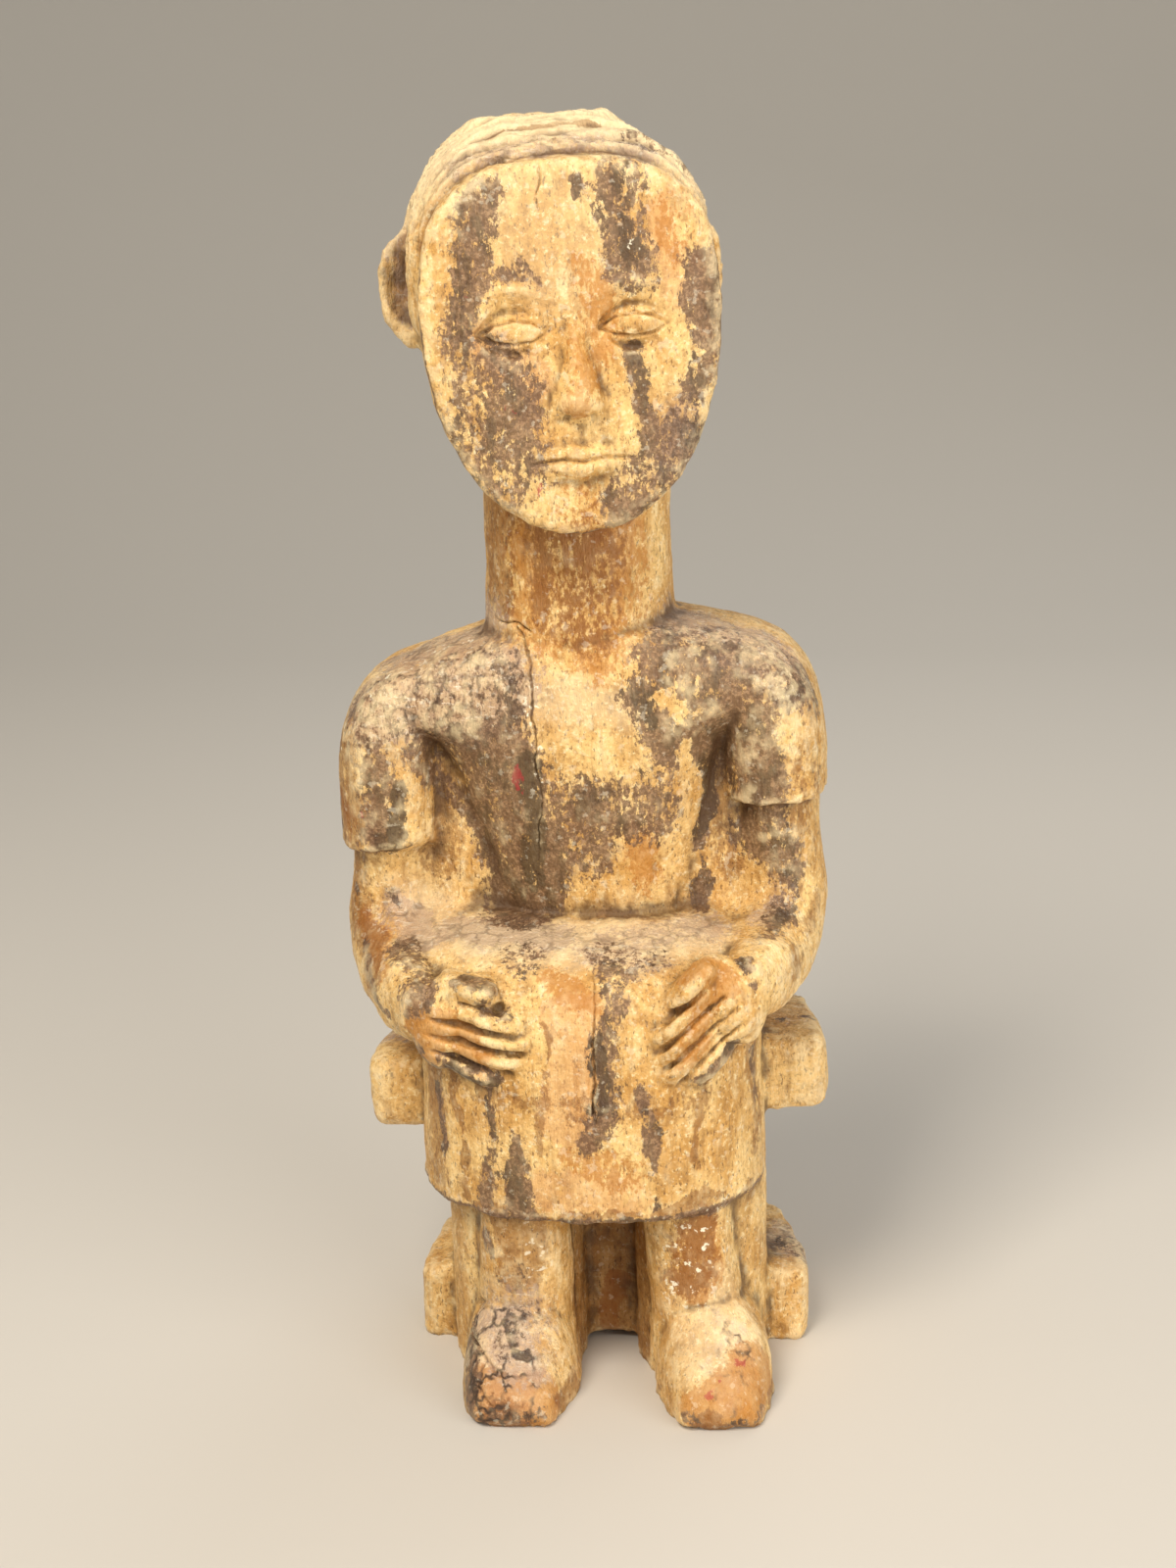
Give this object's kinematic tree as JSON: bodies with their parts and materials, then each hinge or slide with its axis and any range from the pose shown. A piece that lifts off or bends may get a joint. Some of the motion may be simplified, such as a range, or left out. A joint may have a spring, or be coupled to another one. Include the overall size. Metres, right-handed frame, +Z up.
{
  "type": "seated carved figure",
  "caption": "Carved wooden figure seated on a low stool with its hands on its lap, for show on a shelf or table; worn bare wood with traces of paint.",
  "frame": {"origin": "middle of the bounding box's bottom face, on the ground", "axes": "+Z up, the figure faces -Y, +X is to the right as seen from the front"},
  "size_m": [0.158, 0.148, 0.3991],
  "materials": {
    "carved_wood": "worn bare wood with traces of dark paint, polished by handling on the raised places"
  },
  "bodies": {
    "root": {"seated_figure": "carved_wood"}
  },
  "joints": []
}
